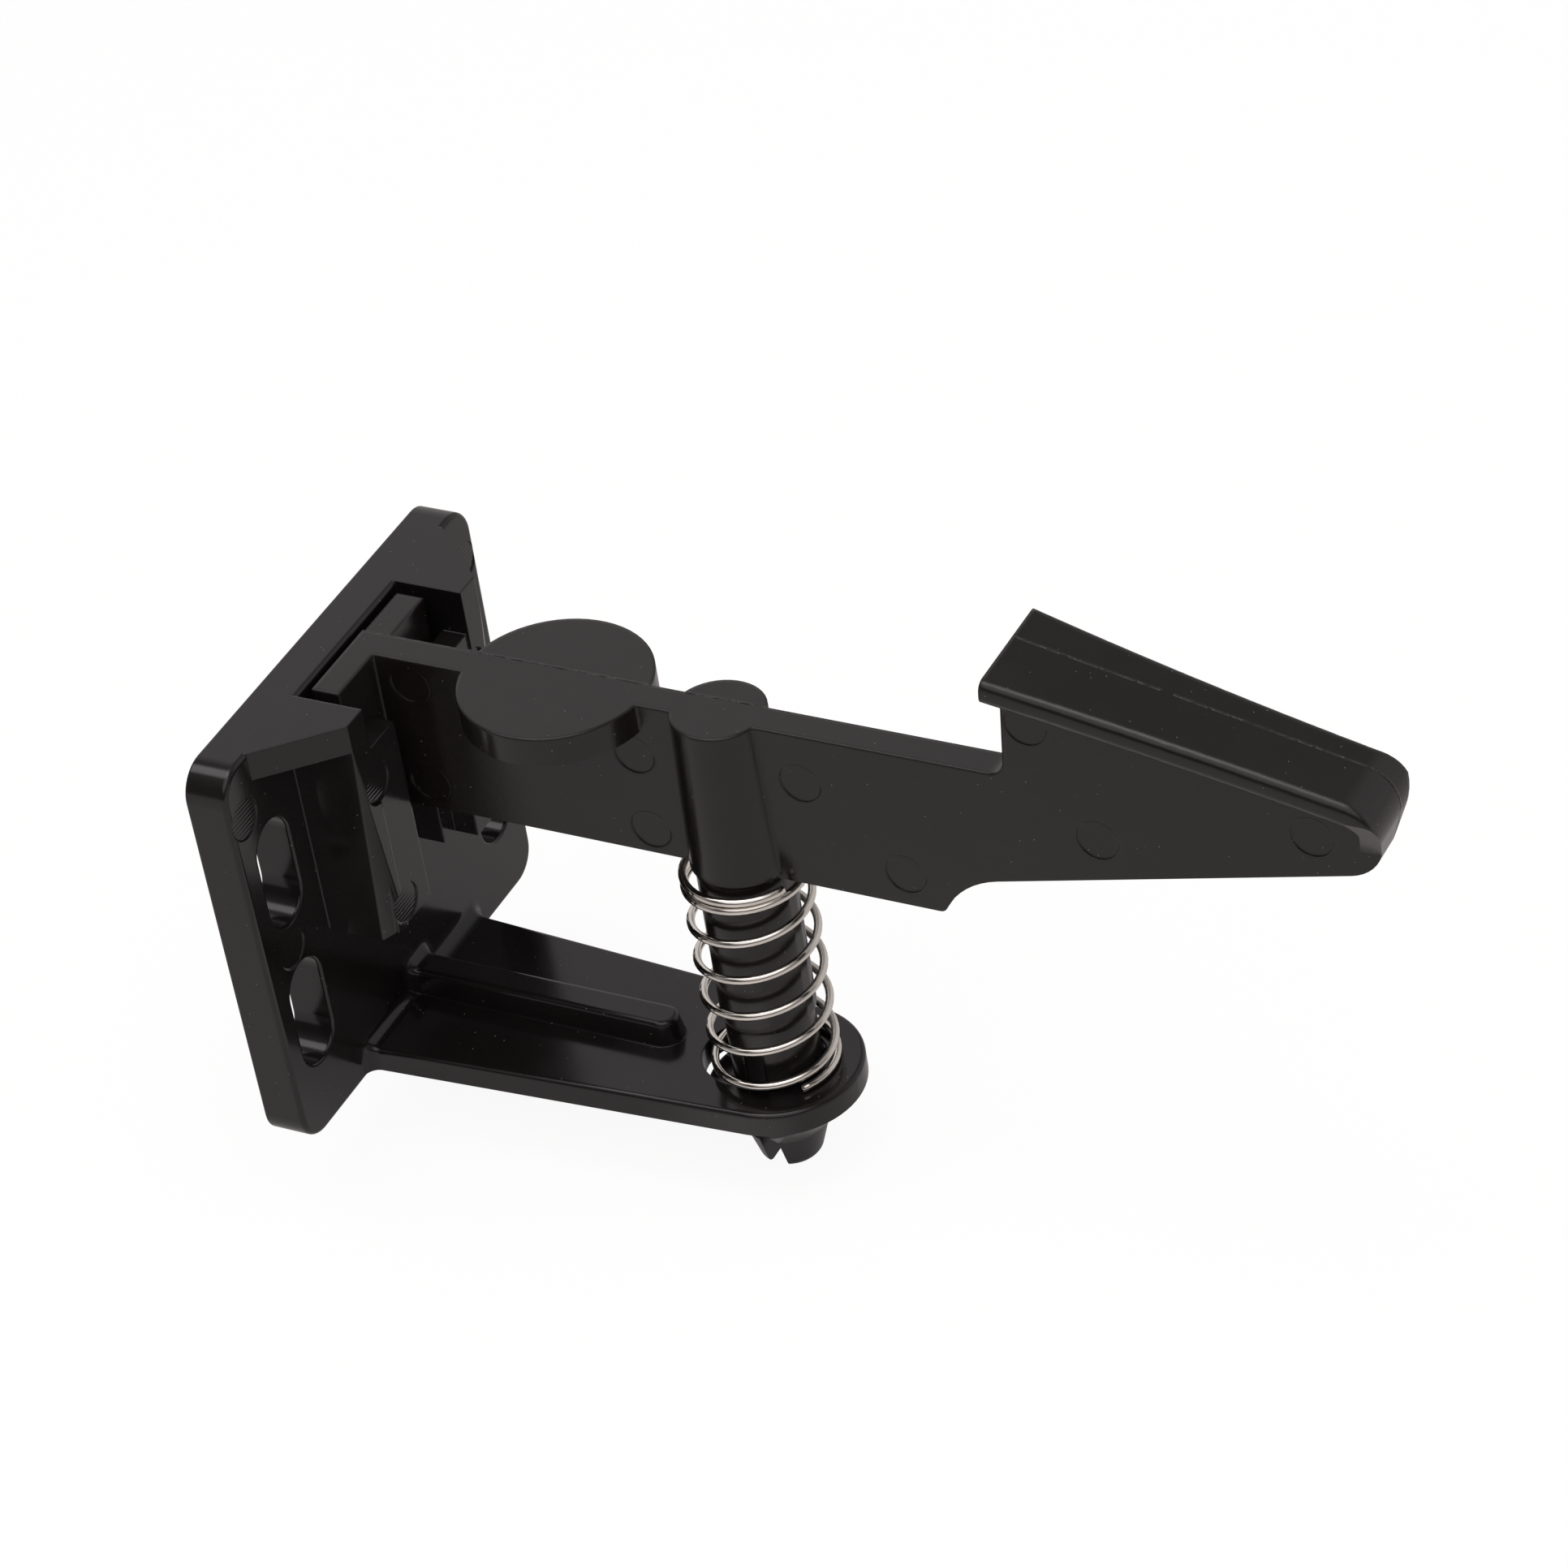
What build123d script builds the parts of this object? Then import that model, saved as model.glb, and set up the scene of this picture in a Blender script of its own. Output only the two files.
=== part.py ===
from build123d import *
import os
from math import cos, pi, radians, sin, sqrt, tan

# Spring latch for a cupboard door, in millimetres.
# X runs forward from the back of the mounting plate, Y across it and Z up.
# The origin is the middle of the plate's back face.

# Mounting plate
plate_top_width = 46.2
plate_foot_width = 45.1
plate_height = 44.0
plate_thickness = 4.3
plate_corner_radius = 3.2
plate_rim_round = 0.5

# Screw slots, upright, two on each side of the housing
screw_slot_width = 5.4
screw_slot_length = 11.6
screw_slot_y = 17.55
screw_slot_spacing = 16.6
screw_slot_middle_drop = 0.7
screw_slot_round = 0.3

# Pocket housing on the front of the plate
housing_depth = 7.0
housing_height = 25.3
housing_wall = 2.75
housing_facet_depth = 1.2
housing_facet_foot_land = 0.25
roof_reach = 6.3
roof_thickness = 3.0
retainer_drop = 4.8
retainer_recess = 0.2
retainer_window = 9.4
floor_window = 5.4
floor_gap = 0.3

# Latch arm: its T head in the pocket, its blade and its thumb disc
head_width = 16.0
head_thickness = 2.85
head_side_gap = 1.35
head_step = 0.25
blade_thickness = 3.15
blade_depth = 17.1
thumb_disc_radius = 9.2
thumb_disc_thickness = 3.0
thumb_disc_x = 26.5

# How far the arm presses down, and the height that it turns about
press_angle = 5.0
pivot_above_blade_foot = 8.2
running_gap = 0.15

# Post under the blade, with its split and barbed foot
post_x = 43.25
post_radius = 4.55
post_flat_depth = 0.05
post_foot_above_arm = 6.7
boss_top_radius = 4.5
boss_foot_radius = 4.95
boss_foot_rise = 0.5
neck_radius = 4.3
neck_gap = 0.4
split_width = 2.0
split_above_arm = 4.2
barb_radius = 7.0
barb_half_depth = 5.3
barb_band = 0.7
barb_waist_radius = 4.1
barb_waist_drop = 4.4
barb_length = 8.4
barb_tip_radius = 2.9
barb_tip_round = 1.0
barb_gap = 0.1

# Hook at the front of the blade
hook_wall_x = 72.2
hook_wall_lean = 4.5
hook_height = 13.3
hook_slope = 12.3
hook_top_length = 36.0
hook_front_lean = 14.7
hook_nose_radius = 3.7
hook_tip_radius = 4.2
hook_flange_back_near = 5.9
hook_flange_back_far = 6.65
hook_flange_nose_width = 8.9
hook_flange_thickness = 2.4
hook_flange_round = 0.9
hook_chin_top = 7.4
hook_chin_foot = 2.3
hook_web_fillet = 1.6
hook_notch_radius = 1.6
hook_foot_x = 70.2
hook_foot_rise = 4.85
hook_foot_slope = 14.2
throat_radius = 8.5
throat_corner_round = 0.8

# Lower arm of the bracket, which carries the spring
lower_arm_rise = 0.4
lower_arm_thickness = 2.5
lower_arm_root_width = 21.8
lower_arm_end_radius = 8.3
lower_arm_edge_round = 0.45
lower_arm_fillet = 1.4
rib_width = 4.0
rib_height = 2.5
rib_taper = 12.0
rib_round = 0.5
rib_end_x = 33.3

# Compression spring
wire = 0.8
spring_outer = 12.4
spring_turns = 7.04
closed_turns_foot = 0.6
closed_turns_top = 1.0
ramp_turns = 0.5
spring_start_angle = 320.0
coil_gap = 0.06
spring_seat_gap = 0.04
points_per_turn = 16

# Working allowances: how near counts as touching, and how far a cut runs past what it cuts
touch = 0.01
past = 1.0

# Round marks that the mould's ejector pins left: on the blade as (x, z), on the plate and panels as (y, z)
pin_radius = 2.05
pin_depth = 0.12
blade_pins = (
    (11.4, 19.2), (11.45, 7.8), (34.5, 16.1), (34.9, 7.6), (51.5, 16.6), (61.0, 8.4), (80.7, 16.8),
    (75.0, 28.1), (101.3, 21.9),
)
plate_pins = ((20.8, 16.3), (18.3, -0.8))
panel_pins = ((9.25, 13.4), (8.7, -1.1))

# Heights and places worked out from the sizes above
plate_top = plate_height / 2
plate_foot = -plate_height / 2
housing_front = plate_thickness + housing_depth
housing_foot = plate_top - housing_height
pocket_half = head_width / 2 + head_side_gap
housing_half = pocket_half + housing_wall
wall_middle = pocket_half + housing_wall / 2
retainer_top = plate_top - retainer_drop
blade_top = plate_top
blade_foot = blade_top - blade_depth
blade_half = blade_thickness / 2
press = radians(press_angle)
pivot_z = blade_foot + pivot_above_blade_foot
head_back = plate_thickness + pivot_above_blade_foot * sin(press) + running_gap
head_front = head_back + head_thickness
retainer_back = head_front + (retainer_top - pivot_z) * sin(press) + running_gap
retainer_front = housing_front - retainer_recess
lower_arm_foot = plate_foot + lower_arm_rise
lower_arm_top = lower_arm_foot + lower_arm_thickness
post_foot = lower_arm_top + post_foot_above_arm
barb_top = lower_arm_foot - barb_gap
slot_heights = [side * screw_slot_spacing / 2 - screw_slot_middle_drop for side in (1, -1)]


def block(x0, x1, y0, y1, z0, z1):
    """A box between two corners."""
    return Pos((x0 + x1) / 2, (y0 + y1) / 2, (z0 + z1) / 2) * Box(x1 - x0, abs(y1 - y0), z1 - z0)


def upright(side_view, half):
    """A side view, drawn with X across and Z up, given half a width each way in Y."""
    return extrude(Plane.XZ * side_view, amount=half, both=True)


def round_bar(x, radius, z0, z1):
    """An upright round bar on the middle plane."""
    return Pos(x, 0, (z0 + z1) / 2) * Cylinder(radius, z1 - z0)


def edges_at(solid, axis, value):
    """The edges that lie wholly in one plane across an axis."""
    return solid.edges().filter_by_position(axis, value - touch, value + touch)


def make_plate():
    """The back plate, with its rounded rim and four upright slots."""
    top_half = plate_top_width / 2
    foot_half = plate_foot_width / 2
    outline = make_face(Polyline(
        (-foot_half, plate_foot), (foot_half, plate_foot), (top_half, plate_top), (-top_half, plate_top), close=True,
    ))
    plate = extrude(Plane.YZ * fillet(outline.vertices(), plate_corner_radius), plate_thickness)
    plate = fillet(edges_at(plate, Axis.X, plate_thickness), plate_rim_round)
    for side in (-1, 1):
        for height in slot_heights:
            slot = Pos(side * screw_slot_y, height) * SlotOverall(screw_slot_length, screw_slot_width, 90)
            plate = plate - extrude(Plane.YZ * slot, plate_thickness)
    front = edges_at(plate, Axis.X, plate_thickness)
    reach = screw_slot_width / 2 + touch
    rims = [edge for edge in front if abs(abs(edge.center().Y) - screw_slot_y) <= reach
            and abs(edge.center().Z) < plate_top - plate_corner_radius]
    return fillet(rims, screw_slot_round)


def facet_cutter(side):
    """Trims the wall's outer front corner, from nothing under the roof to nearly its whole front at the foot."""
    top = Vector(housing_front, side * housing_half, plate_top - roof_thickness)
    outer = Vector(housing_front - housing_facet_depth, side * housing_half, housing_foot)
    inner = Vector(housing_front, side * (pocket_half + housing_facet_foot_land), housing_foot)
    outward = (outer - top).cross(inner - top) * -side
    cutter = Box(housing_height * 2, housing_height * 2, housing_height)
    return Plane(origin=top, x_dir=outer - top, z_dir=outward) * Pos(0, 0, housing_height / 2) * cutter


def make_housing_side(side):
    """One side of the pocket: wall with its roof, retainer panel and floor under the head."""
    inner = side * pocket_half
    outer = side * housing_half
    middle = side * wall_middle
    root = plate_thickness / 2
    wall = block(root, housing_front, inner, outer, housing_foot, plate_top) - facet_cutter(side)
    roof_outline = Polyline(
        (root, inner),
        (root, outer + side * roof_reach),
        (plate_thickness, outer + side * roof_reach),
        (housing_front, outer),
        (housing_front, inner),
        close=True,
    )
    roof = Pos(0, 0, plate_top - roof_thickness) * extrude(make_face(roof_outline), roof_thickness)
    retainer = block(
        retainer_back, retainer_front, side * retainer_window / 2, middle, housing_foot, retainer_top
    )
    floor = block(
        root, (retainer_back + retainer_front) / 2, side * floor_window / 2, middle,
        housing_foot, blade_foot - floor_gap,
    )
    window = block(
        retainer_back, retainer_front, 0, side * retainer_window / 2, housing_foot, blade_foot
    )
    return wall + roof + retainer + (floor - window)


def make_lower_arm():
    """The tapered arm at the plate's foot, with its rib and its hole for the post's foot."""
    root = plate_thickness / 2
    half = lower_arm_root_width / 2
    end = Pos(post_x, 0) * Circle(lower_arm_end_radius)
    plan = make_hull(end.edges() + Line((root, -half), (root, half)).edges())
    arm = Pos(0, 0, lower_arm_foot) * extrude(plan, lower_arm_thickness)
    rim = [edge for edge in edges_at(arm, Axis.Z, lower_arm_top) if edge.center().X > root + touch]
    arm = fillet(rim, lower_arm_edge_round)
    rib_root = plate_thickness - rib_width * 0.75
    rib_plan = Pos((rib_root + rib_end_x) / 2, 0) * SlotOverall(rib_end_x - rib_root, rib_width)
    rib = Pos(0, 0, lower_arm_top) * extrude(rib_plan, rib_height, taper=rib_taper)
    rib = fillet(rib.faces().sort_by(Axis.Z)[-1].edges(), rib_round)
    return arm + rib


def make_neck_hole():
    """The hole in the lower arm, long enough for the neck to swing back as the latch is pressed."""
    radius = neck_radius + neck_gap
    swing = (pivot_z - lower_arm_foot) * sin(press) - neck_gap / 2
    slot = Pos(post_x - swing / 2, 0) * SlotCenterToCenter(swing, radius * 2)
    return Pos(0, 0, lower_arm_foot - past) * extrude(slot, lower_arm_thickness + past * 2)


def pin_mark(face, across, up):
    """A shallow round cut in a face, which also clears whatever stands in front of it."""
    return extrude(face.offset(-pin_depth) * Pos(across, up) * Circle(pin_radius), pin_depth + past)


def make_bracket():
    """The one-piece moulding that is screwed to the cupboard."""
    bracket = make_plate() + make_lower_arm()
    corners = edges_at(bracket, Axis.X, plate_thickness).filter_by_position(
        Axis.Z, lower_arm_top - touch, lower_arm_top + rib_height + touch
    )
    inside = lower_arm_root_width / 2 - lower_arm_edge_round - touch
    corners = [edge for edge in corners if abs(edge.center().Y) < inside]
    bracket = fillet(corners, lower_arm_fillet)
    for side in (-1, 1):
        bracket = bracket + make_housing_side(side)
    front = Plane(origin=(plate_thickness, 0, 0), x_dir=(0, 1, 0), z_dir=(1, 0, 0))
    panel = Plane(origin=(retainer_front, 0, 0), x_dir=(0, 1, 0), z_dir=(1, 0, 0))
    for side in (-1, 1):
        for across, up in plate_pins:
            bracket = bracket - pin_mark(front, side * across, up)
        for across, up in panel_pins:
            bracket = bracket - pin_mark(panel, side * across, up)
    return bracket - make_neck_hole()


def hook_side_view():
    """The hook seen from the side: wall, sloped top, nose, tip and underside."""
    lean = tan(radians(hook_wall_lean))
    slope = tan(radians(hook_slope))
    wall_foot = (hook_wall_x, blade_top)
    wall_top = (hook_wall_x + hook_height * lean, blade_top + hook_height)
    nose = (wall_top[0] + hook_top_length, wall_top[1] - hook_top_length * slope)
    # The underside and the leaning front meet at the tip
    rise = tan(radians(hook_foot_slope))
    back = tan(radians(hook_front_lean))
    foot = (hook_foot_x, blade_foot + hook_foot_rise)
    fall = (nose[1] - foot[1] - (nose[0] - foot[0]) * rise) / (1 - back * rise)
    tip = (nose[0] - fall * back, nose[1] - fall)
    return wall_foot, wall_top, nose, tip, foot


def throat_corner(foot):
    """Centre of the hollow arc under the blade, and where it meets the blade's foot."""
    angle = radians(hook_foot_slope)
    centre = (foot[0] + throat_radius * sin(angle), foot[1] - throat_radius * cos(angle))
    reach = sqrt(throat_radius**2 - (blade_foot - centre[1]) ** 2)
    return centre, (centre[0] - reach, blade_foot)


def rounded(face, corner, radius):
    """The face with its vertex nearest a corner rounded."""
    spot = Vector(*corner)
    vertex = min(face.vertices(), key=lambda v: (Vector(v.X, v.Y) - spot).length)
    return fillet(vertex, radius)


def make_blade():
    """The upright blade from the T head to the hook's tip, as one side view with real thickness."""
    wall_foot, wall_top, nose, tip, foot = hook_side_view()
    centre, corner = throat_corner(foot)
    middle = (foot[0] + corner[0]) / 2
    arc_mid = (middle, centre[1] + sqrt(throat_radius**2 - (middle - centre[0]) ** 2))
    outline = Polyline((head_back, blade_foot), (head_back, blade_top), wall_foot, wall_top, nose, tip, foot)
    outline = outline + ThreePointArc(foot, arc_mid, corner) + Line(corner, (head_back, blade_foot))
    view = make_face(outline.edges())
    view = rounded(view, wall_foot, hook_notch_radius)
    view = rounded(view, nose, hook_nose_radius)
    view = rounded(view, tip, hook_tip_radius)
    view = rounded(view, corner, throat_corner_round)
    return view, upright(view, blade_half)


def make_hook_flange(view):
    """The wide flange that runs down the hook's top and round its nose, narrowing to the tip."""
    wall_top, nose, tip = hook_side_view()[1:4]
    slope = radians(hook_slope)
    lean = radians(hook_front_lean)
    # The middle of the flange follows the outline half its thickness inside
    depth = hook_flange_thickness / 2
    shift = depth / cos(slope)
    bend_x = nose[0] - (depth / cos(lean) - shift * tan(lean)) / (1 - tan(lean) * tan(slope))
    bend = Vector(bend_x, 0, nose[1] + (nose[0] - bend_x) * tan(slope) - shift)
    run = wall_top[0] - hook_notch_radius * 2
    back = Vector(run, 0, bend.Z + (bend.X - run) * tan(slope))
    fall = bend.Z - tip[1] + hook_tip_radius
    chin = Vector(bend.X - fall * tan(lean), 0, bend.Z - fall)
    path = FilletPolyline(back, bend, chin, radius=hook_nose_radius - depth)
    top_share = (bend - back).length / path.length
    half = hook_flange_nose_width / 2
    stations = (
        (0, hook_flange_back_near, hook_flange_back_far), (top_share * 0.9, half, half), (1, half, half),
    )
    sections = [
        Plane(origin=path @ share + Vector(0, (far - near) / 2, 0), x_dir=(0, 1, 0), z_dir=path % share)
        * RectangleRounded(near + far, hook_flange_thickness, hook_flange_round)
        for share, near, far in stations
    ]
    flange = sweep(sections, path, multisection=True)
    # Seen from the front, both sides run in to the blade below the nose
    wide = hook_flange_back_far + past
    chin_top = tip[1] + hook_chin_top
    chin_foot = tip[1] + hook_chin_foot
    front_view = Polyline(
        (-wide, wall_top[1] + past), (wide, wall_top[1] + past), (wide, chin_top), (half, chin_top),
        (blade_half, chin_foot), (blade_half, tip[1] - past), (-blade_half, tip[1] - past),
        (-blade_half, chin_foot), (-half, chin_top), (-wide, chin_top), close=True,
    )
    keep = extrude(Plane.YZ * make_face(front_view), nose[0] + past)
    return flange & keep & upright(view, wide)


def make_web_fillets(view):
    """Fillets between the underside of the hook's flange and the blade, along the sloped top."""
    wall_top = hook_side_view()[1]
    reach = blade_half + hook_web_fillet
    deep = hook_flange_thickness / 2
    section = Pos(0, -(deep + hook_web_fillet) / 2) * Rectangle(reach * 2, deep + hook_web_fillet)
    for side in (-1, 1):
        section = section - Pos(side * reach, -deep - hook_web_fillet) * Circle(hook_web_fillet)
    slope = radians(hook_slope)
    start = Vector(wall_top[0], 0, wall_top[1]) - Vector(sin(slope), 0, cos(slope)) * deep
    along = Vector(cos(slope), 0, -sin(slope))
    plane = Plane(origin=start - along * hook_notch_radius, x_dir=(0, 1, 0), z_dir=along)
    run = hook_top_length - hook_nose_radius * 2 + hook_notch_radius
    return extrude(plane * section, run) & upright(view, reach)


def make_post():
    """The boss beside the blade, the post inside the spring and its split, barbed foot."""
    boss = Cone(boss_foot_radius, boss_top_radius, blade_depth - boss_foot_rise)
    boss = Pos(post_x, 0, blade_top - (blade_depth - boss_foot_rise) / 2) * boss
    flat = post_radius - post_flat_depth
    post = round_bar(post_x, post_radius, post_foot, blade_foot + boss_foot_rise * 2)
    post = post & block(post_x - flat, post_x + flat, -post_radius, post_radius, post_foot, blade_top)
    neck = round_bar(post_x, neck_radius, barb_top - barb_band, post_foot)
    barb_foot = barb_top - barb_length
    waist = (barb_waist_radius, barb_top - barb_waist_drop)
    tip = (barb_tip_radius, barb_foot)
    half_view = make_face(Polyline(
        (0, barb_foot), (0, barb_top), (barb_radius, barb_top), (barb_radius, barb_top - barb_band), waist, tip,
        close=True,
    ))
    half_view = rounded(half_view, tip, barb_tip_round)
    barb = Pos(post_x, 0, 0) * revolve(Plane.XZ * half_view, Axis.Z)
    deep = barb_half_depth
    barb = barb & block(post_x - barb_radius, post_x + barb_radius, -deep, deep, barb_foot, barb_top)
    split_top = lower_arm_top + split_above_arm
    split = block(
        post_x - split_width / 2, post_x + split_width / 2, -barb_radius, barb_radius, barb_foot - past, split_top
    )
    return boss + post + (neck + barb - split)


def make_latch_arm():
    """The one-piece moulding that is pressed: head, blade, disc, post and hook."""
    view, blade = make_blade()
    head = block(head_back, head_front, -head_width / 2, head_width / 2, blade_foot, blade_top)
    step = block(head_back, head_front, blade_half, head_width / 2, blade_top - head_step, blade_top)
    disc = round_bar(thumb_disc_x, thumb_disc_radius, blade_top - thumb_disc_thickness, blade_top)
    arm = blade + (head - step) + disc + make_post()
    arm = arm + make_hook_flange(view) + make_web_fillets(view)
    near_face = Plane(origin=(0, -blade_half, 0), x_dir=(1, 0, 0), z_dir=(0, -1, 0))
    for along, up in blade_pins:
        arm = arm - pin_mark(near_face, along, up)
    return arm


def spring_pitch(turn):
    """Rise in one turn at a point of the spring: closed at both ends and open between."""
    closed = wire + coil_gap
    rise = blade_foot - lower_arm_top - 2 * spring_seat_gap - wire
    closed_turns = closed_turns_foot + closed_turns_top + ramp_turns
    open_pitch = (rise - closed * closed_turns) / (spring_turns - closed_turns)
    from_end = min(turn - closed_turns_foot, spring_turns - closed_turns_top - turn) / ramp_turns
    return closed + (open_pitch - closed) * max(0.0, min(1.0, from_end))


def make_spring():
    """The round-wire spring, swept along a helix whose ends close up."""
    radius = (spring_outer - wire) / 2
    steps = round(spring_turns * points_per_turn)
    size = spring_turns / steps
    height = lower_arm_top + spring_seat_gap + wire / 2
    points = []
    for index in range(steps + 1):
        angle = radians(spring_start_angle) + 2 * pi * index * size
        points.append(Vector(post_x + radius * cos(angle), radius * sin(angle), height))
        height += size * (spring_pitch(index * size) + spring_pitch((index + 1) * size)) / 2
    path = Spline(*points)
    section = Plane(origin=path @ 0, z_dir=path % 0) * Circle(wire / 2)
    return sweep(section, path)


def save(node, solid):
    """Write one node and say what it came out as."""
    export_step(solid, "parts/" + node + ".step")
    print(node, "valid", solid.is_valid, "solids", len(solid.solids()), "volume", round(solid.volume, 2))


os.makedirs("parts", exist_ok=True)
save("mounting_bracket", make_bracket())
save("latch_arm", make_latch_arm())
save("spring", make_spring())
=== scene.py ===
from math import cos, pi, radians, sin

import bmesh
import bpy
from mathutils import Matrix, Vector


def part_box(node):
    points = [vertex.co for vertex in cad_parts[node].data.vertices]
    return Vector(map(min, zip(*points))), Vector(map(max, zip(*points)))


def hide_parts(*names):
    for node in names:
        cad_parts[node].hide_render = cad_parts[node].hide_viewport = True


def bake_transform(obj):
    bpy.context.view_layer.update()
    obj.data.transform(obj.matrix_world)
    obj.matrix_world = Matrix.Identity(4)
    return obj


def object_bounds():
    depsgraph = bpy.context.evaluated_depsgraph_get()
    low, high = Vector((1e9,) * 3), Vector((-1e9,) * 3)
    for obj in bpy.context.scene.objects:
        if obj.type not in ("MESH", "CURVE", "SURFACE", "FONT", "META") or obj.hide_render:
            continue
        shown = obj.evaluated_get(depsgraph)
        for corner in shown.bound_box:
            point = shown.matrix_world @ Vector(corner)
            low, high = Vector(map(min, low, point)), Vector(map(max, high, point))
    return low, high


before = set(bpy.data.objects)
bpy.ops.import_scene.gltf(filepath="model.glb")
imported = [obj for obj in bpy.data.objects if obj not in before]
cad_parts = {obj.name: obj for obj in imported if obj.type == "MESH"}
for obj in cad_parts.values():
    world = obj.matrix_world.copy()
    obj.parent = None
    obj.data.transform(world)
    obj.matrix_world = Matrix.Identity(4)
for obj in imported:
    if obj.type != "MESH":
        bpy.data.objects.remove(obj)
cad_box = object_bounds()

MM = 0.001

# Camera, worked out from the straight edges of the plate and the arm in the photograph
camera_place = Vector((0.26747, -0.35042, 0.32447))
camera_azimuth = radians(31.96)
camera_elevation = radians(36.86)
camera_roll = radians(9.31)
camera_lens = 131.63

# Spring, as in the part's source
wire = 0.8 * MM
spring_outer = 12.4 * MM
spring_turns = 7.04
closed_turns_foot = 0.6
closed_turns_top = 1.0
ramp_turns = 0.5
spring_start_angle = radians(320)
coil_gap = 0.06 * MM
wire_steps_per_turn = 48
wire_sides = 20

# Round ejector pin marks: on the blade as (x, z), on the plate and panels as (y, z), in millimetres
blade_pins = (
    (11.4, 19.2), (11.45, 7.8), (34.5, 16.1), (34.9, 7.6), (51.5, 16.6), (61.0, 8.4), (80.7, 16.8),
    (75.0, 28.1), (101.3, 21.9),
)
bracket_pins = ((20.8, 16.3), (18.3, -0.8), (9.25, 13.4), (8.7, -1.1))
pin_radius = 2.05 * MM
pin_rim = 0.1 * MM
groove_pitch = 0.4 * MM
groove_depth = 0.004 * MM
ridge_pitch = 0.42 * MM
ridge_depth = 0.013 * MM

# Fine ring of flash round each of the blade's pins
flash_inner = pin_radius - 0.05 * MM
flash_outer = pin_radius + 0.1 * MM
flash_rim = 0.06 * MM
flash_height = 0.025 * MM

# How far sideways a face looks, from 0 on the arm's top to 1 on its sides, where a top becomes a side
side_limit = 0.6
side_fade = 0.2

# The mould's parting line, which runs along the arm's top, over the blade's far face
parting_y = 1.575 * MM
parting_half_width = 0.17 * MM
parting_height = 0.2 * MM
parting_wander = 0.1 * MM
wander_length = 6 * MM
tear_length = 1 * MM

# Streaks of the flowing melt along the arm
streak_length = 5 * MM
streak_width = 0.2 * MM
streak_depth = 0.002 * MM

# Rings that a turning cutter left in the mould over the near roof, with their middle in millimetres
cutter_middle = (3.4, -12.2, 22.0)
cutter_reach = 3.9 * MM
cutter_fade = 1.2 * MM
cutter_pitch = 0.36 * MM
cutter_depth = 0.008 * MM

# Surface of both mouldings
flow_length = 9 * MM
rubbed_length = 2.5 * MM
grain_size = 0.22 * MM
dust_spacing = 1.1 * MM
dust_radius = 0.06 * MM
dust_rim = 0.033 * MM
dust_colour = "#7c7874"

# The drawing die's dull streaks on the wire
wire_streak_length = 1.4 * MM

# White paper: the share of it that glows, and how bright mirrors see it
glow_for_camera = 0.93
glow_for_mirrors = 0.75
paper_in_mirrors = 0.36
# Painted pool of light: extra glow on the paper that only reflections see, its middle in millimetres
pool_in_mirrors = 0.35
pool_middle = (44.0, -22.0, 0.0)
pool_reach = 18 * MM
pool_fade = 12.6 * MM
floor_half_width = 4.0

# Soft lamp over the object, placed from the object's centre, in metres and watts
softbox_place = (0.12, -0.18, 0.6)
softbox_width = 0.8
softbox_power = 3.0

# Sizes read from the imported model
bracket_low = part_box("mounting_bracket")[0]
arm_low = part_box("latch_arm")[0]
spring_low, spring_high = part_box("spring")
spring_x = spring_low.x + spring_outer / 2

# Sockets of the Mix node when it mixes colours
MIX_FACTOR = 0
MIX_A = 6
MIX_B = 7
MIX_RESULT = 2

# Its sockets when it mixes vectors
VECTOR_A = 4
VECTOR_B = 5
VECTOR_RESULT = 1


def colour(code):
    """An sRGB hex value as the linear colour that the shaders take."""
    channels = [int(code[start:start + 2], 16) / 255 for start in (1, 3, 5)]
    linear = [c / 12.92 if c <= 0.04045 else ((c + 0.055) / 1.055) ** 2.4 for c in channels]
    return (*linear, 1.0)


def new_material(name):
    """A material with no nodes yet."""
    material = bpy.data.materials.new(name)
    material.use_nodes = True
    material.node_tree.nodes.clear()
    return material


def add(owner, kind, inputs=None, **settings):
    """A node with its settings, and with each input given a value or linked to a socket."""
    tree = owner.node_tree
    node = tree.nodes.new(kind)
    for name, value in settings.items():
        setattr(node, name, value)
    for socket, value in (inputs or {}).items():
        if isinstance(value, bpy.types.NodeSocket):
            tree.links.new(value, node.inputs[socket])
        else:
            node.inputs[socket].default_value = value
    return node


def wave_scale(pitch):
    """The Wave node's scale at which one ridge follows the next after a real distance."""
    return pi / 10 / pitch


def inside(material, distance, reach, edge, full=1.0):
    """A full value where a distance is under a reach, falling to 0 over an edge."""
    mask = add(
        material, "ShaderNodeMapRange",
        {"Value": distance, "From Min": reach - edge, "From Max": reach, "To Min": full, "To Max": 0.0},
        interpolation_type="SMOOTHSTEP",
    )
    return mask.outputs["Result"]


def nearest(material, place, keep, centres):
    """Distance to the nearest of some centres, measured only along the axes that keep holds as 1."""
    flat = add(material, "ShaderNodeVectorMath", {0: place, 1: keep}, operation="MULTIPLY").outputs[0]
    best = None
    for centre in centres:
        ends = {0: flat, 1: [value * MM for value in centre]}
        distance = add(material, "ShaderNodeVectorMath", ends, operation="DISTANCE").outputs["Value"]
        if best is not None:
            ends = {0: best, 1: distance}
            distance = add(material, "ShaderNodeMath", ends, operation="MINIMUM").outputs[0]
        best = distance
    return best


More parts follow.
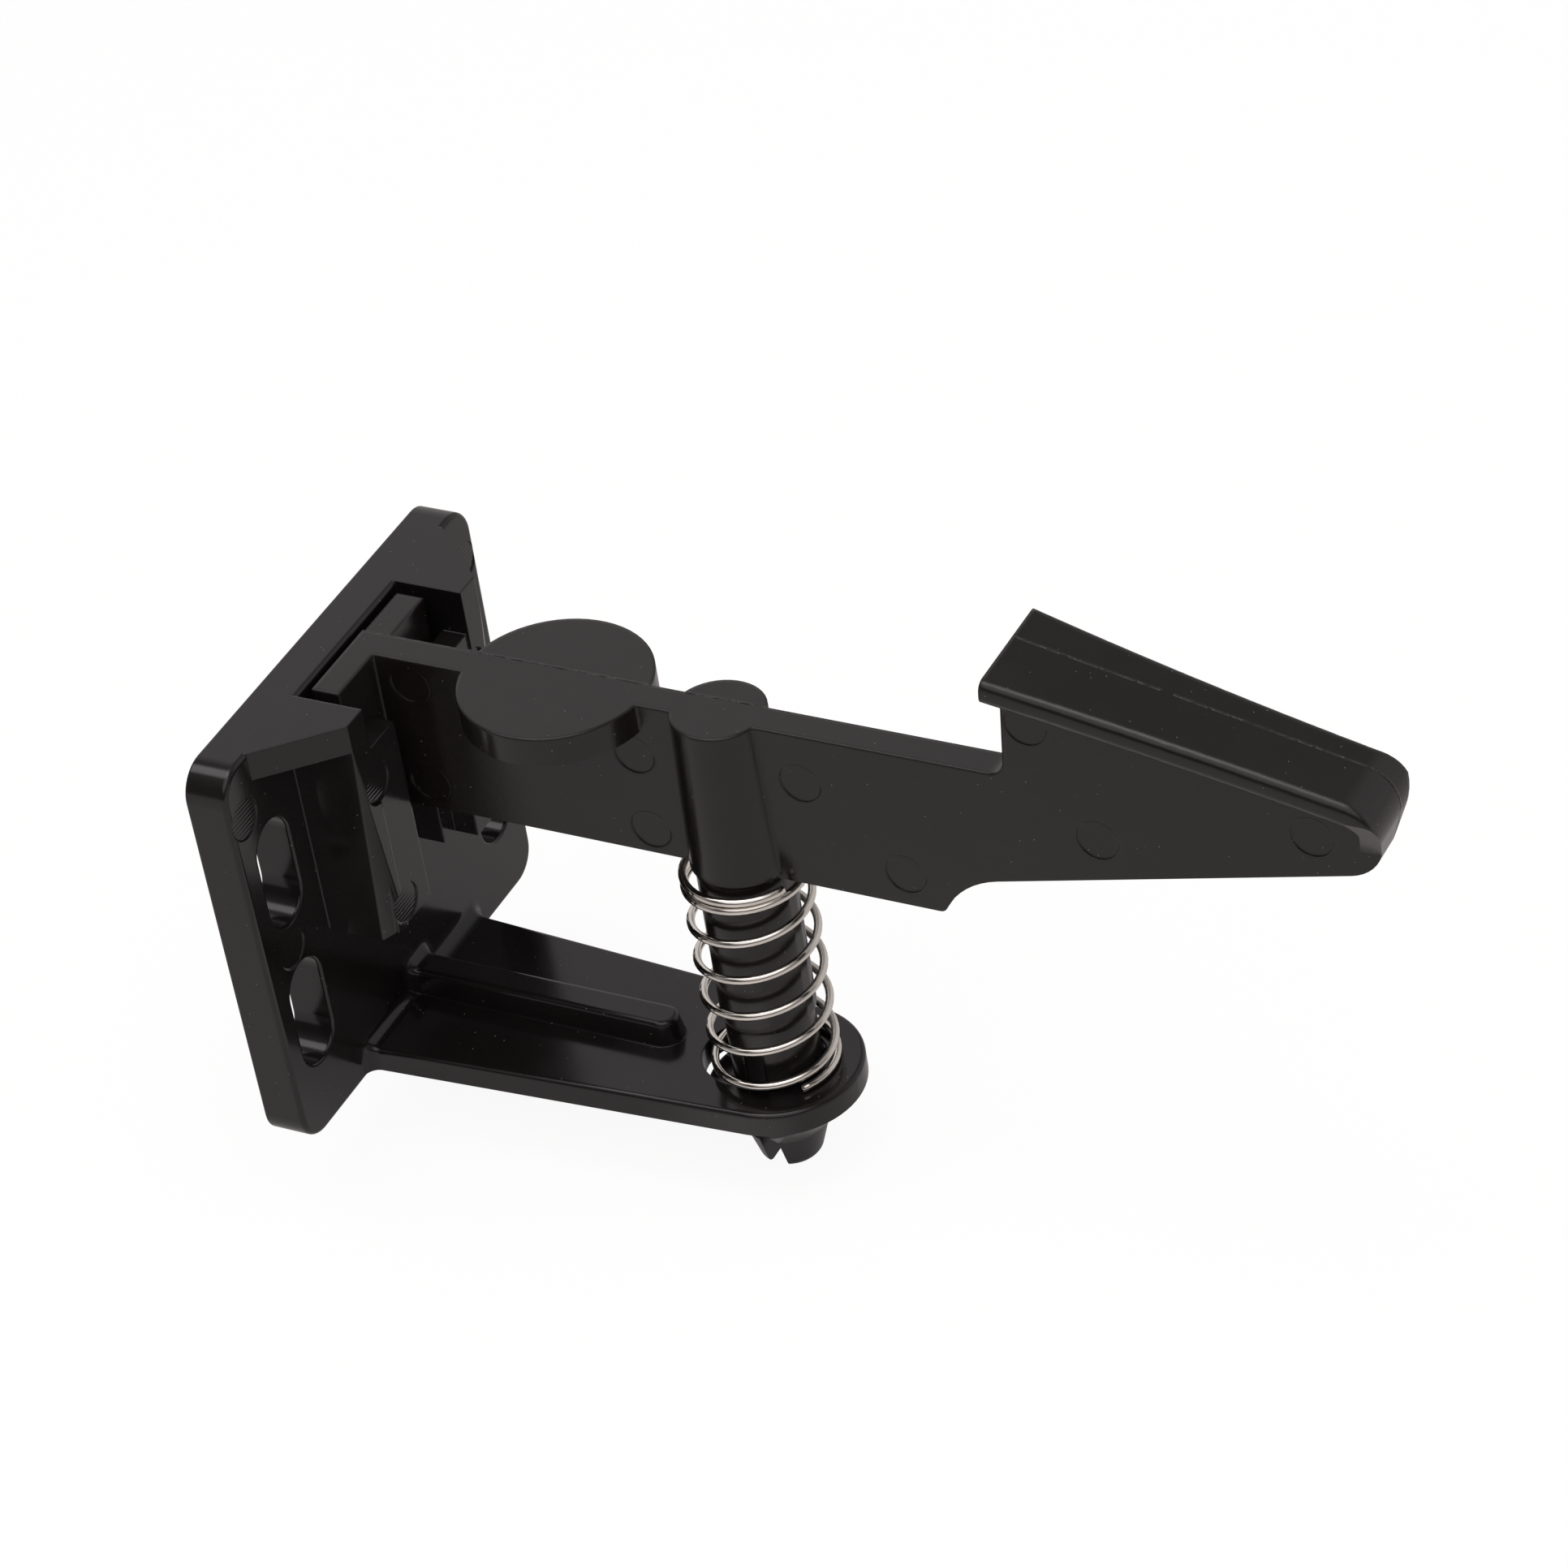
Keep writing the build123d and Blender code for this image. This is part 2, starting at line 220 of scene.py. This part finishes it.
def parting_line(material, place, sideways):
    """The thin raised line where the mould's two halves met, on faces that don't look sideways."""
    across = add(material, "ShaderNodeSeparateXYZ", {"Vector": place}).outputs["Y"]
    # The halves met a little unevenly, so the line wanders
    wander = add(
        material, "ShaderNodeTexNoise", {"Vector": place, "Scale": 1 / wander_length, "Detail": 2.0},
    ).outputs["Fac"]
    across = add(
        material, "ShaderNodeMath", {0: wander, 1: 2 * parting_wander, 2: across}, operation="MULTIPLY_ADD",
    ).outputs[0]
    offset = add(
        material, "ShaderNodeMath", {0: across, 1: parting_y + parting_wander}, operation="SUBTRACT",
    ).outputs[0]
    offset = add(material, "ShaderNodeMath", {0: offset}, operation="ABSOLUTE").outputs[0]
    line = inside(material, offset, parting_half_width, parting_half_width)
    line = inside(material, sideways, side_limit, side_fade, full=line)
    # The flash on it is torn here and there
    tears = add(
        material, "ShaderNodeTexNoise", {"Vector": place, "Scale": 1 / tear_length, "Detail": 4.0},
    ).outputs["Fac"]
    torn = {"Value": tears, "From Min": 0.35, "From Max": 0.65, "To Max": line}
    return add(material, "ShaderNodeMapRange", torn).outputs["Result"]


def flash_rings(material, from_pin, sideways):
    """The rings of flash round the pins, on faces that look sideways."""
    filled = inside(material, from_pin, flash_outer, flash_rim)
    middle = inside(material, from_pin, flash_inner, flash_rim)
    ring = add(material, "ShaderNodeMath", {0: filled, 1: middle}, operation="SUBTRACT").outputs[0]
    from_side = add(material, "ShaderNodeMath", {0: 1.0, 1: sideways}, operation="SUBTRACT").outputs[0]
    return inside(material, from_side, 1 - side_limit, side_fade, full=ring)


def arm_marks(material, place, facing):
    """Heights and depths of what the mould left on the arm: parting line, pin marks and flow streaks."""
    sideways = add(material, "ShaderNodeMath", {0: facing["Y"]}, operation="ABSOLUTE").outputs[0]
    pins = [(x, 0, z) for x, z in blade_pins]
    from_pin = nearest(material, place, (1, 0, 1), pins)
    # The pins' ends were ground, which left fine grooves
    ground = add(
        material, "ShaderNodeTexWave",
        {"Vector": place, "Scale": wave_scale(groove_pitch), "Distortion": 2.5, "Detail": 2.0,
         "Detail Scale": 0.6},
        bands_direction="X",
    )
    grooves = inside(material, from_pin, pin_radius - pin_rim, pin_rim, full=ground.outputs["Fac"])
    per_streak = (1 / streak_length, 1 / streak_length, 1 / streak_width)
    stretched = add(
        material, "ShaderNodeVectorMath", {0: place, 1: per_streak}, operation="MULTIPLY",
    ).outputs[0]
    streaks = add(material, "ShaderNodeTexNoise", {"Vector": stretched, "Scale": 1.0, "Detail": 3.0})
    return (
        (parting_line(material, place, sideways), parting_height),
        (flash_rings(material, from_pin, sideways), flash_height),
        (grooves, groove_depth),
        (streaks.outputs["Fac"], streak_depth),
    )


def bracket_marks(material, place, facing):
    """Heights and depths of what the mould left on the bracket: cutter rings and ground pin marks."""
    centre = [value * MM for value in cutter_middle]
    from_middle = add(
        material, "ShaderNodeVectorMath", {0: place, 1: centre}, operation="SUBTRACT",
    ).outputs[0]
    distance = add(material, "ShaderNodeVectorMath", {0: from_middle}, operation="LENGTH").outputs["Value"]
    rings = add(
        material, "ShaderNodeTexWave",
        {"Vector": from_middle, "Scale": wave_scale(cutter_pitch), "Distortion": 0.6},
        wave_type="RINGS", rings_direction="SPHERICAL",
    )
    turned = inside(material, distance, cutter_reach, cutter_fade, full=rings.outputs["Fac"])
    # Only faces that look up have the rings
    turned = add(material, "ShaderNodeMapRange", {"Value": facing["Z"], "To Max": turned}).outputs["Result"]
    parts = add(material, "ShaderNodeSeparateXYZ", {"Vector": place}).outputs
    across = add(material, "ShaderNodeMath", {0: parts["Y"]}, operation="ABSOLUTE").outputs[0]
    either_side = add(material, "ShaderNodeCombineXYZ", {"Y": across, "Z": parts["Z"]}).outputs[0]
    pins = [(0, y, z) for y, z in bracket_pins]
    from_pin = nearest(material, either_side, (0, 1, 1), pins)
    # The pins' ends were ground, which left ridges
    ground = add(
        material, "ShaderNodeTexWave",
        {"Vector": place, "Scale": wave_scale(ridge_pitch), "Distortion": 1.2, "Detail": 1.0,
         "Detail Scale": 0.5},
        bands_direction="Z",
    )
    ridges = inside(material, from_pin, pin_radius - pin_rim, pin_rim, full=ground.outputs["Fac"])
    # Only faces that look forward have the pin marks
    ridges = add(material, "ShaderNodeMapRange", {"Value": facing["X"], "To Max": ridges}).outputs["Result"]
    return (turned, cutter_depth), (ridges, ridge_depth)


def soft_corners(material, corner_round):
    """The surface's direction with its sharp corners a little round, but crisp where they look down."""
    flat = add(material, "ShaderNodeNewGeometry").outputs["Normal"]
    rounded = add(material, "ShaderNodeBevel", {"Radius": corner_round}, samples=8).outputs["Normal"]
    upward = add(material, "ShaderNodeSeparateXYZ", {"Vector": rounded}).outputs["Z"]
    share = add(material, "ShaderNodeMapRange", {"Value": upward, "From Min": -0.12, "From Max": -0.02})
    blend = {MIX_FACTOR: share.outputs["Result"], VECTOR_A: flat, VECTOR_B: rounded}
    return add(material, "ShaderNodeMix", blend, data_type="VECTOR").outputs[VECTOR_RESULT]


def moulded_plastic(name, base, worn, roughness, texture_depth, corner_round, make_marks):
    """Moulded black plastic: a dark body with the surface that the steel mould left on it."""
    material = new_material(name)
    source = add(material, "ShaderNodeTexCoord").outputs
    place = source["Object"]
    facing = add(material, "ShaderNodeSeparateXYZ", {"Vector": source["Normal"]}).outputs
    # The melt's slow flow shifts the gloss a little
    flow = add(material, "ShaderNodeTexNoise", {"Vector": place, "Scale": 1 / flow_length, "Detail": 3.0})
    rubbed = add(material, "ShaderNodeTexNoise", {"Vector": place, "Scale": 1 / rubbed_length, "Detail": 6.0})
    # Spark-eroded grain of the mould, finer on the real latch and drawn this coarse so that it shows
    grain = add(material, "ShaderNodeTexNoise", {"Vector": place, "Scale": 1 / grain_size, "Detail": 2.0})
    tint = add(
        material, "ShaderNodeMix",
        {MIX_FACTOR: rubbed.outputs["Fac"], MIX_A: colour(base), MIX_B: colour(worn)},
        data_type="RGBA",
    )
    gloss = add(
        material, "ShaderNodeMapRange",
        {"Value": flow.outputs["Fac"], "From Min": 0.3, "From Max": 0.7, "To Min": roughness * 0.85,
         "To Max": roughness * 1.2},
    )
    # Pale dust: one grain in each lump of space, seen where the surface happens to cut it
    dust = add(material, "ShaderNodeTexVoronoi", {"Vector": place, "Scale": 1 / dust_spacing})
    speck = inside(material, dust.outputs["Distance"], dust_radius / dust_spacing, dust_rim / dust_spacing)
    tint = add(
        material, "ShaderNodeMix",
        {MIX_FACTOR: speck, MIX_A: tint.outputs[MIX_RESULT], MIX_B: colour(dust_colour)},
        data_type="RGBA",
    )
    dulled = add(material, "ShaderNodeMath", {0: gloss.outputs["Result"], 1: speck}, operation="MAXIMUM")
    normal = soft_corners(material, corner_round)
    for height, depth in (*make_marks(material, place, facing), (grain.outputs["Fac"], texture_depth)):
        relief = add(material, "ShaderNodeBump", {"Height": height, "Distance": depth, "Normal": normal})
        normal = relief.outputs["Normal"]
    shader = add(
        material, "ShaderNodeBsdfPrincipled",
        {"Base Color": tint.outputs[MIX_RESULT], "Roughness": dulled.outputs[0], "Normal": normal,
         "IOR": 1.5},
    )
    add(material, "ShaderNodeOutputMaterial", {"Surface": shader.outputs["BSDF"]})
    return material


def drawn_wire():
    """Nickel-plated spring steel, drawn through a die: silver with sharp bright lines, a little streaked."""
    material = new_material("nickel_plated_drawn_spring_steel")
    place = add(material, "ShaderNodeTexCoord").outputs["Object"]
    streaks = add(
        material, "ShaderNodeTexNoise", {"Vector": place, "Scale": 1 / wire_streak_length, "Detail": 4.0},
    )
    tint = add(
        material, "ShaderNodeMix",
        {MIX_FACTOR: streaks.outputs["Fac"], MIX_A: colour("#e2ddd2"), MIX_B: colour("#f4f1ea")},
        data_type="RGBA",
    )
    gloss = add(
        material, "ShaderNodeMapRange",
        {"Value": streaks.outputs["Fac"], "From Min": 0.3, "From Max": 0.7, "To Min": 0.02, "To Max": 0.06},
    )
    shader = add(
        material, "ShaderNodeBsdfPrincipled",
        {"Base Color": tint.outputs[MIX_RESULT], "Roughness": gloss.outputs["Result"], "Metallic": 1.0},
    )
    add(material, "ShaderNodeOutputMaterial", {"Surface": shader.outputs["BSDF"]})
    return material


def studio_tint(owner, is_camera):
    """The studio's light is a little warm, but what the camera sees directly stays plain white."""
    tint = add(
        owner, "ShaderNodeMix", {MIX_FACTOR: is_camera, MIX_A: colour("#fff9fa"), MIX_B: colour("#ffffff")},
        data_type="RGBA",
    )
    return tint.outputs[MIX_RESULT]


def white_ground():
    """Smooth white studio paper that looks evenly lit but still holds the object's soft shadow."""
    material = new_material("white_studio_paper")
    path = add(material, "ShaderNodeLightPath").outputs
    is_camera = path["Is Camera Ray"]
    is_mirrored = add(
        material, "ShaderNodeMath", {0: path["Is Glossy Ray"], 1: path["Is Transmission Ray"]},
        operation="MAXIMUM",
    ).outputs[0]
    seen = add(material, "ShaderNodeMapRange", {"Value": is_camera, "To Max": glow_for_camera})
    mirrored = add(material, "ShaderNodeMapRange", {"Value": is_mirrored, "To Max": glow_for_mirrors})
    share = add(
        material, "ShaderNodeMath", {0: seen.outputs["Result"], 1: mirrored.outputs["Result"]},
        operation="MAXIMUM",
    )
    # Mirrors see the paper dimmer, but a little brighter in a painted pool of light in front of the spring:
    # extra glow painted into the paper that only reflections see
    place = add(material, "ShaderNodeTexCoord").outputs["Object"]
    from_pool = nearest(material, place, (1, 1, 0), (pool_middle,))
    pool = inside(material, from_pool, pool_reach, pool_fade, full=pool_in_mirrors)
    lit = add(material, "ShaderNodeMath", {0: pool, 1: paper_in_mirrors}, operation="ADD").outputs[0]
    reflected = add(material, "ShaderNodeMapRange", {"Value": is_mirrored, "To Max": lit}).outputs["Result"]
    strength = add(material, "ShaderNodeMath", {0: is_camera, 1: reflected}, operation="MAXIMUM").outputs[0]
    paper = add(material, "ShaderNodeBsdfDiffuse", {"Color": colour("#fff8f7")})
    tint = studio_tint(material, is_camera)
    glow = add(material, "ShaderNodeEmission", {"Color": tint, "Strength": strength})
    mix = add(
        material, "ShaderNodeMixShader",
        {0: share.outputs[0], 1: paper.outputs["BSDF"], 2: glow.outputs["Emission"]},
    )
    add(material, "ShaderNodeOutputMaterial", {"Surface": mix.outputs["Shader"]})
    return material


def finish_mesh(name, bm, material):
    """A smooth-shaded object from a bmesh, at the origin, with outward faces."""
    bmesh.ops.recalc_face_normals(bm, faces=bm.faces)
    mesh = bpy.data.meshes.new(name)
    bm.to_mesh(mesh)
    bm.free()
    mesh.shade_smooth()
    mesh.materials.append(material)
    piece = bpy.data.objects.new(name, mesh)
    bpy.context.scene.collection.objects.link(piece)
    return piece


def make_spring(material):
    """The wire's round section, spun up the post with the pitch of each step."""
    radius = (spring_outer - wire) / 2
    foot = spring_low.z + wire / 2
    rise = spring_high.z - spring_low.z - wire
    closed = wire + coil_gap
    open_turns = spring_turns - closed_turns_foot - closed_turns_top - ramp_turns
    open_pitch = (rise - closed * (closed_turns_foot + closed_turns_top + ramp_turns)) / open_turns
    bm = bmesh.new()
    place = Matrix.Rotation(spring_start_angle, 4, "Z") @ Matrix.Translation((radius, 0, foot))
    place = Matrix.Translation((spring_x, 0, 0)) @ place @ Matrix.Rotation(pi / 2, 4, "X")
    bmesh.ops.create_circle(bm, cap_ends=True, segments=wire_sides, radius=wire / 2, matrix=place)
    ring = bm.edges[:]
    steps = round(spring_turns * wire_steps_per_turn)
    turn = spring_turns / steps
    for step in range(steps):
        middle = (step + 0.5) * turn
        from_end = min(middle - closed_turns_foot, spring_turns - closed_turns_top - middle) / ramp_turns
        pitch = closed + (open_pitch - closed) * max(0.0, min(1.0, from_end))
        spun = bmesh.ops.spin(
            bm, geom=ring, cent=(spring_x, 0, 0), axis=(0, 0, 1), dvec=(0, 0, pitch * turn),
            angle=turn * 2 * pi, steps=1, use_duplicate=False,
        )
        ring = [part for part in spun["geom_last"] if isinstance(part, bmesh.types.BMEdge)]
    bmesh.ops.contextual_create(bm, geom=ring)
    return finish_mesh("spring_coil", bm, material)


def paint(node, material):
    """Puts one material on a CAD node."""
    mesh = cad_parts[node].data
    mesh.materials.clear()
    mesh.materials.append(material)


def make_floor():
    """A wide white floor under the object."""
    bm = bmesh.new()
    drop = Matrix.Translation((spring_x, 0, min(bracket_low.z, arm_low.z)))
    bmesh.ops.create_grid(bm, x_segments=1, y_segments=1, size=floor_half_width, matrix=drop)
    floor = finish_mesh("floor", bm, white_ground())


def make_world():
    """A room of soft light: bright behind the object, dark behind the camera, with softboxes overhead."""
    world = bpy.data.worlds.new("white_room")
    bpy.context.scene.world = world
    world.use_nodes = True
    world.node_tree.nodes.clear()
    toward = add(world, "ShaderNodeTexCoord").outputs["Generated"]
    # Brightness of the room's walls, and of each panel before them: its direction, the cosines from that
    # direction between which it fades in, and what it adds
    light = 0.23
    panels = (
        # Walls behind the object, at the left and the right
        ((-0.62, 0.70, 0.35), 0.83, 0.94, 0.41),
        ((0.50, 0.80, 0.33), 0.75, 0.95, 0.30),
        # Dark side behind the camera
        ((0.05, -0.92, 0.38), 0.60, 0.90, -0.17),
        # Ceiling
        ((-0.05, 0.15, 0.99), 0.80, 0.98, 0.15),
        # Two small softboxes above, which the rounded edges mirror
        ((-0.42, -0.08, 0.90), 0.96, 0.985, 2.0),
        ((-0.08, -0.08, 0.99), 0.96, 0.985, 2.0),
        # Wide softbox high in front, which whitens the wire
        ((0.15, -0.55, 0.82), 0.80, 0.93, 0.9),
    )
    for direction, fades_in, full, added in panels:
        direction = Vector(direction).normalized()
        along = add(
            world, "ShaderNodeVectorMath", {0: toward, 1: direction}, operation="DOT_PRODUCT",
        ).outputs["Value"]
        panel = add(
            world, "ShaderNodeMapRange",
            {"Value": along, "From Min": fades_in, "From Max": full, "To Min": 0.0, "To Max": added},
            interpolation_type="SMOOTHSTEP",
        ).outputs["Result"]
        light = add(world, "ShaderNodeMath", {0: panel, 1: light}, operation="ADD").outputs[0]
    path = add(world, "ShaderNodeLightPath").outputs
    strength = add(world, "ShaderNodeMath", {0: path["Is Camera Ray"], 1: light}, operation="MAXIMUM")
    tint = studio_tint(world, path["Is Camera Ray"])
    glow = add(world, "ShaderNodeBackground", {"Color": tint, "Strength": strength.outputs[0]})
    add(world, "ShaderNodeOutputWorld", {"Surface": glow.outputs["Background"]})


def make_lamp():
    """A square soft lamp that faces the object and leaves the mirror images to the room."""
    lamp = bpy.data.lights.new("overhead_softbox", "AREA")
    lamp.size = softbox_width
    lamp.energy = softbox_power
    holder = bpy.data.objects.new("overhead_softbox", lamp)
    holder.visible_glossy = False
    bpy.context.scene.collection.objects.link(holder)
    centre = (cad_box[0] + cad_box[1]) / 2
    place = centre + Vector(softbox_place)
    aim = (centre - place).to_track_quat("-Z", "Y")
    holder.matrix_world = Matrix.Translation(place) @ aim.to_matrix().to_4x4()


def make_camera():
    """The camera at the photograph's place, turned and rolled as it was."""
    camera = bpy.data.cameras.new("camera")
    camera.lens = camera_lens
    camera.clip_start = 0.01
    holder = bpy.data.objects.new("camera", camera)
    bpy.context.scene.collection.objects.link(holder)
    back = Vector((
        sin(camera_azimuth) * cos(camera_elevation),
        -cos(camera_azimuth) * cos(camera_elevation),
        sin(camera_elevation),
    ))
    level = (-back).to_track_quat("-Z", "Y").to_matrix().to_4x4()
    holder.matrix_world = Matrix.Translation(camera_place) @ level @ Matrix.Rotation(-camera_roll, 4, "Z")
    bpy.context.scene.camera = holder


# The plate and its housing came out of a polished mould, so their reflections are sharp
bracket_plastic = moulded_plastic(
    "gloss_moulded_abs_black", base="#110f0f", worn="#161413", roughness=0.15, texture_depth=0.002 * MM,
    corner_round=0.25 * MM, make_marks=bracket_marks,
)
# The arm's mould was only satin, so it shows soft grey light along its edges
arm_plastic = moulded_plastic(
    "satin_moulded_abs_black", base="#12100f", worn="#181514", roughness=0.2, texture_depth=0.006 * MM,
    corner_round=0.5 * MM, make_marks=arm_marks,
)

paint("mounting_bracket", bracket_plastic)
paint("latch_arm", arm_plastic)

spring = make_spring(drawn_wire())
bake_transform(spring)
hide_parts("spring")

make_floor()
make_world()
make_lamp()
make_camera()
bpy.context.scene.view_settings.view_transform = "Standard"
